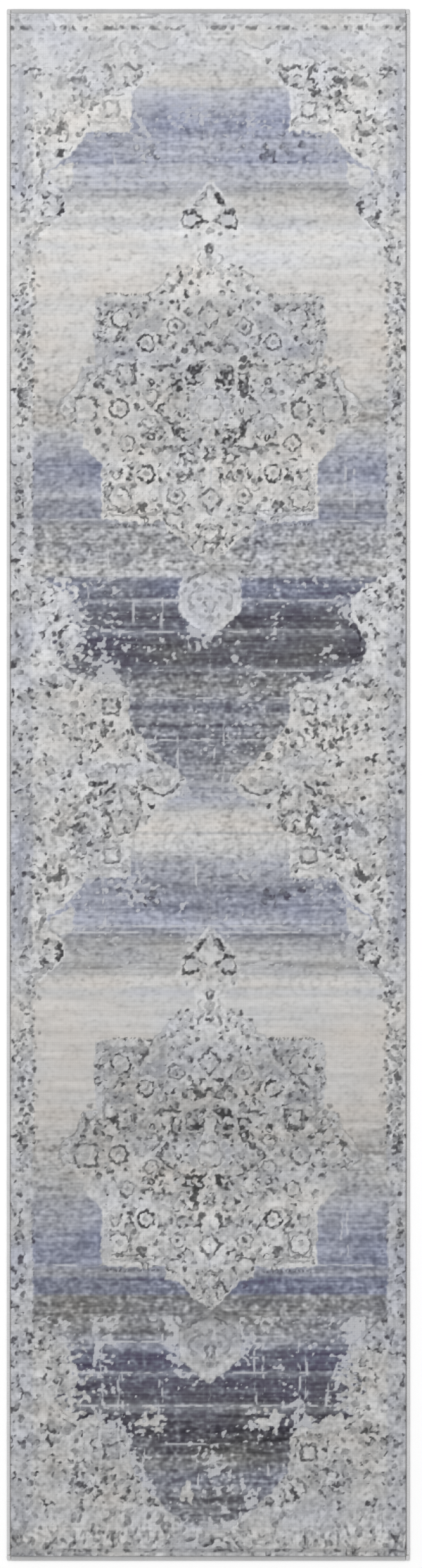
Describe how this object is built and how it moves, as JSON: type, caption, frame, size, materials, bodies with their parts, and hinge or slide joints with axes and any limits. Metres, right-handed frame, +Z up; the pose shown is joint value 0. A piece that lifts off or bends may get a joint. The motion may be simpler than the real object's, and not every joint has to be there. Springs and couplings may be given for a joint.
{
  "type": "runner rug",
  "caption": "Long narrow pile rug, woven ground with a coated back, overcast sides and tape-bound ends, lies flat on a floor; a sewn ribbon label on the back flips down.",
  "frame": {"origin": "on the floor under the middle of the rug, at the bottom centre of its box", "axes": "+Y along the rug towards its head end, +X across the rug to the right as seen from above, +Z up out of the pile"},
  "size_m": [0.792, 3.048, 0.0098],
  "materials": {
    "pile_yarn": "matt cut pile, banded ivory, taupe, slate blue and charcoal with a worn look",
    "ground_cloth": "matt coarse plain weave",
    "latex_coat": "matt latex over the back of the weave",
    "overcast_yarn": "matt pale grey yarn wrapped side by side",
    "edge_cord": "matt twisted cord",
    "tack_yarn": "matt yarn, closely wound",
    "binding_tape": "matt grey woven tape",
    "sewing_thread": "twisted sewing thread, slight sheen",
    "label_ribbon": "blank satin ribbon, slight sheen"
  },
  "bodies": {
    "rug": {"pile": "pile_yarn", "ground_weave": "ground_cloth", "back_coat": "latex_coat", "overcast_left": "overcast_yarn", "overcast_right": "overcast_yarn", "edge_cord_left": "edge_cord", "edge_cord_right": "edge_cord", "corner_tack_head_left": "tack_yarn", "corner_tack_head_right": "tack_yarn", "corner_tack_foot_left": "tack_yarn", "corner_tack_foot_right": "tack_yarn", "end_binding_head": "binding_tape", "end_binding_foot": "binding_tape", "needle_thread_head": "sewing_thread", "needle_thread_foot": "sewing_thread", "bobbin_thread_head": "sewing_thread", "bobbin_thread_foot": "sewing_thread", "label_stitching": "sewing_thread"},
    "label": {"care_label": "label_ribbon"}
  },
  "joints": [
    {"name": "label_flip", "type": "hinge", "parent": "rug", "child": "label", "pos_m": [-0.2985, -1.479, 0.0002], "axis": [-1, 0, 0], "range_deg": [0, 150], "stiffness_Nm_per_rad": 0.0015, "springref_deg": -17.19}
  ]
}
